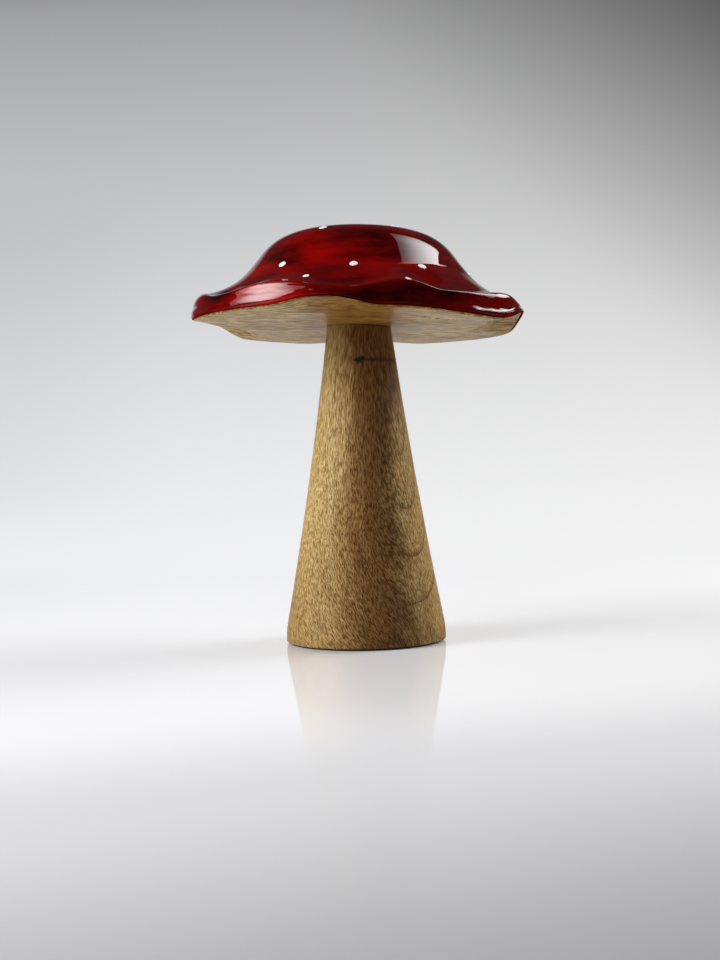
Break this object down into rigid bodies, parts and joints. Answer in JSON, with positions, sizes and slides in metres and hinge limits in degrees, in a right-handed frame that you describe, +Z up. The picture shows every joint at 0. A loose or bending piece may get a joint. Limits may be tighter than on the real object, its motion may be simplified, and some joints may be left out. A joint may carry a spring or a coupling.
{
  "type": "mushroom ornament",
  "caption": "Free-standing wooden mushroom ornament: a turned tapering stem pegged into a carved wavy cap with a glossy red enamel coat and small raised white dots.",
  "frame": {"origin": "centre of the base pad's underside, on the surface that the ornament stands on", "axes": "+Z up along the stem's axis; -Y is the side that faces the viewer; +X is the viewer's right, the side to which the cap leans"},
  "size_m": [0.144, 0.144, 0.1789],
  "materials": {
    "felt": "thin dark felt",
    "stem_wood": "open-pored hardwood, sanded, thin satin lacquer",
    "peg_wood": "plain pale hardwood, fluted",
    "cap_wood": "pale hardwood, sanded, thin satin lacquer",
    "red_enamel": "thick glossy translucent red enamel over wood grain",
    "white_enamel": "glossy raised white enamel drops"
  },
  "bodies": {
    "root": {"base_pad": "felt", "stem": "stem_wood", "peg": "peg_wood", "cap_body": "cap_wood", "enamel_coat": "red_enamel", "dot_crown": "white_enamel", "dot_upper_1": "white_enamel", "dot_upper_2": "white_enamel", "dot_upper_3": "white_enamel", "dot_upper_4": "white_enamel", "dot_upper_5": "white_enamel", "dot_upper_6": "white_enamel", "dot_middle_1": "white_enamel", "dot_middle_2": "white_enamel", "dot_middle_3": "white_enamel", "dot_middle_4": "white_enamel", "dot_middle_5": "white_enamel", "dot_middle_6": "white_enamel", "dot_middle_7": "white_enamel", "dot_middle_8": "white_enamel", "dot_middle_9": "white_enamel", "dot_lower_1": "white_enamel", "dot_lower_2": "white_enamel", "dot_lower_3": "white_enamel", "dot_lower_4": "white_enamel", "dot_lower_5": "white_enamel", "dot_lower_6": "white_enamel", "dot_lower_7": "white_enamel"}
  },
  "joints": []
}
